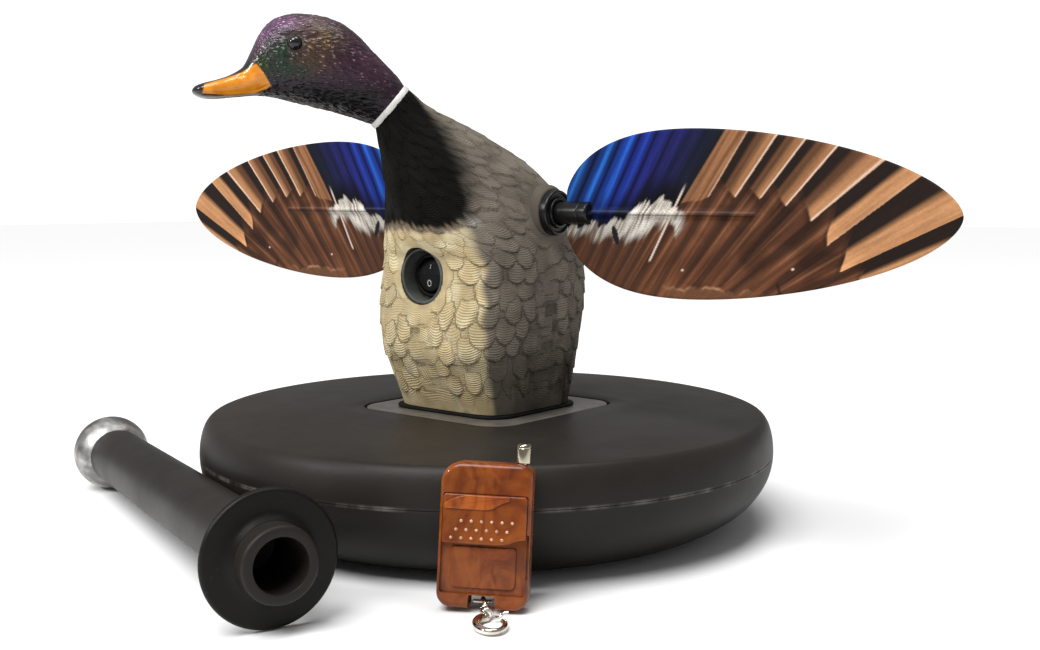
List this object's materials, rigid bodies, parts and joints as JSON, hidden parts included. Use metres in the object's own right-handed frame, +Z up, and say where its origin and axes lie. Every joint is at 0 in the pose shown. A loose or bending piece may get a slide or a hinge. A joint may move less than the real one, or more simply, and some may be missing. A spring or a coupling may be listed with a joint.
{
  "type": "spinning wing duck decoy",
  "caption": "Motorised spinning-wing duck decoy on a round float, with a lift-off body, a breast switch, a flanged keel tube with a ball weight and a radio remote with a clasp",
  "frame": {"origin": "on the ground under the middle of the whole set's box, 35.6 mm in front of the float's middle", "axes": "+Z up, -Y the way the breast faces, +X along the wing shaft to the duck's left wing"},
  "size_m": [0.5036, 0.3712, 0.2561],
  "materials": {
    "float_plastic": "satin charcoal moulding with a leathery grain",
    "deck_plastic": "light warm grey plate",
    "body_paint": "matt painted moulding: beige breast, grey-brown sides, black neck",
    "head_paint": "glossy iridescent green and purple paint with an orange bill",
    "white_paint": "white band",
    "eye_glass": "glossy black",
    "black_plastic": "satin black",
    "black_rubber": "matt black",
    "wing_print": "thin sheet printed with feathers on both faces",
    "steel": "bright steel",
    "brass": "turned brass",
    "zinc": "mottled cast light metal",
    "chrome": "polished plating",
    "wood_finish": "glossy burl-wood pattern on plastic",
    "circuit": "green board",
    "grey_plastic": "dark grey moulding",
    "cell_wrap": "cell sleeve",
    "red_rubber": "soft red"
  },
  "bodies": {
    "float": {"float_upper_shell": "float_plastic", "float_lower_shell": "float_plastic", "keel_socket": "black_plastic", "deck_plate": "deck_plastic"},
    "decoy": {"body_shell": "body_paint", "body_gasket": "black_rubber", "neck_ring": "white_paint", "head": "head_paint", "eye_left": "eye_glass", "eye_right": "eye_glass", "base_plate": "black_plastic", "mount_peg": "black_plastic", "battery_box": "black_plastic", "cell_1": "cell_wrap", "cell_2": "cell_wrap", "cell_3": "cell_wrap", "cell_4": "cell_wrap", "receiver_board": "circuit", "receiver_relay": "black_plastic", "receiver_aerial": "black_rubber", "frame_post_left": "steel", "frame_post_right": "steel", "motor_cradle": "black_plastic", "motor_can": "steel", "motor_end_cap": "red_rubber", "gearbox_housing": "grey_plastic", "motor_strap": "steel", "motor_lead": "red_rubber", "shaft_bezel_left": "black_plastic", "shaft_bezel_right": "black_plastic", "shaft_bearing_left": "brass", "shaft_bearing_right": "brass", "switch_cup": "grey_plastic", "switch_body": "black_plastic"},
    "drive": {"drive_shaft": "steel", "wing_hub_left": "black_plastic", "wing_hub_right": "black_plastic"},
    "wing_left": {"wing_blade_left": "wing_print", "wing_rod_left": "steel"},
    "wing_right": {"wing_blade_right": "wing_print", "wing_rod_right": "steel"},
    "rocker": {"switch_rocker": "black_plastic"},
    "keel": {"keel_tube": "float_plastic", "keel_flange": "float_plastic", "keel_weight": "zinc"},
    "remote": {"remote_back_case": "wood_finish", "remote_front_case": "wood_finish", "remote_board": "circuit", "remote_cell": "steel", "key_post": "chrome"},
    "cover": {"remote_slide_cover": "wood_finish"},
    "button_1": {"remote_button_1": "red_rubber"},
    "button_2": {"remote_button_2": "red_rubber"},
    "button_3": {"remote_button_3": "red_rubber"},
    "button_4": {"remote_button_4": "red_rubber"},
    "antenna": {"remote_antenna": "chrome"},
    "link": {"clasp_link": "chrome"},
    "swivel": {"clasp_barrel": "chrome", "clasp_claw": "chrome"},
    "gate": {"clasp_gate": "chrome"}
  },
  "joints": [
    {"name": "decoy_lift", "type": "slide", "parent": "float", "child": "decoy", "axis": [0, 0, 1], "range_m": [0, 0.08]},
    {"name": "wing_spin", "type": "hinge", "parent": "decoy", "child": "drive", "pos_m": [0, 0.0356, 0.1603], "axis": [1, 0, 0], "continuous": true},
    {"name": "wing_left_pull", "type": "slide", "parent": "drive", "child": "wing_left", "axis": [1, 0, 0], "range_m": [0, 0.02]},
    {"name": "wing_right_pull", "type": "slide", "parent": "drive", "child": "wing_right", "axis": [-1, 0, 0], "range_m": [0, 0.02]},
    {"name": "switch_press", "type": "hinge", "parent": "decoy", "child": "rocker", "pos_m": [0, -0.0058, 0.129], "axis": [1, 0, 0], "range_deg": [0, 14]},
    {"name": "keel_lift", "type": "slide", "parent": "float", "child": "keel", "axis": [-0.2451, -0.6632, 0.7072], "range_m": [0, 0.08]},
    {"name": "remote_lift", "type": "slide", "parent": "float", "child": "remote", "axis": [0.3779, -0.5979, 0.7069], "range_m": [0, 0.08]},
    {"name": "cover_slide", "type": "slide", "parent": "remote", "child": "cover", "axis": [0.0507, -0.1325, -0.9899], "range_m": [0, 0.017]},
    {"name": "button_1_press", "type": "slide", "parent": "remote", "child": "button_1", "axis": [-0.5291, 0.837, -0.1392], "range_m": [0, 0.0006], "stiffness_N_per_m": 200},
    {"name": "button_2_press", "type": "slide", "parent": "remote", "child": "button_2", "axis": [-0.5291, 0.837, -0.1392], "range_m": [0, 0.0006], "stiffness_N_per_m": 200},
    {"name": "button_3_press", "type": "slide", "parent": "remote", "child": "button_3", "axis": [-0.5291, 0.837, -0.1392], "range_m": [0, 0.0006], "stiffness_N_per_m": 200},
    {"name": "button_4_press", "type": "slide", "parent": "remote", "child": "button_4", "axis": [-0.5291, 0.837, -0.1392], "range_m": [0, 0.0006], "stiffness_N_per_m": 200},
    {"name": "antenna_pull", "type": "slide", "parent": "remote", "child": "antenna", "axis": [-0.0507, 0.1325, 0.9899], "range_m": [0, 0.03]},
    {"name": "link_swing", "type": "hinge", "parent": "remote", "child": "link", "pos_m": [0.10515, -0.0889, 0.00351], "axis": [-0.847, -0.5309, 0.0276], "range_deg": [0, 12]},
    {"name": "swivel_turn", "type": "hinge", "parent": "link", "child": "swivel", "pos_m": [0.1133, -0.09599, 0.0028], "axis": [0.7547, -0.6561, 0], "range_deg": [-90, 90]},
    {"name": "gate_open", "type": "hinge", "parent": "swivel", "child": "gate", "pos_m": [0.11818, -0.09678, 0.0018], "axis": [0, 0, -1], "range_deg": [0, 12], "stiffness_Nm_per_rad": 0.001}
  ]
}
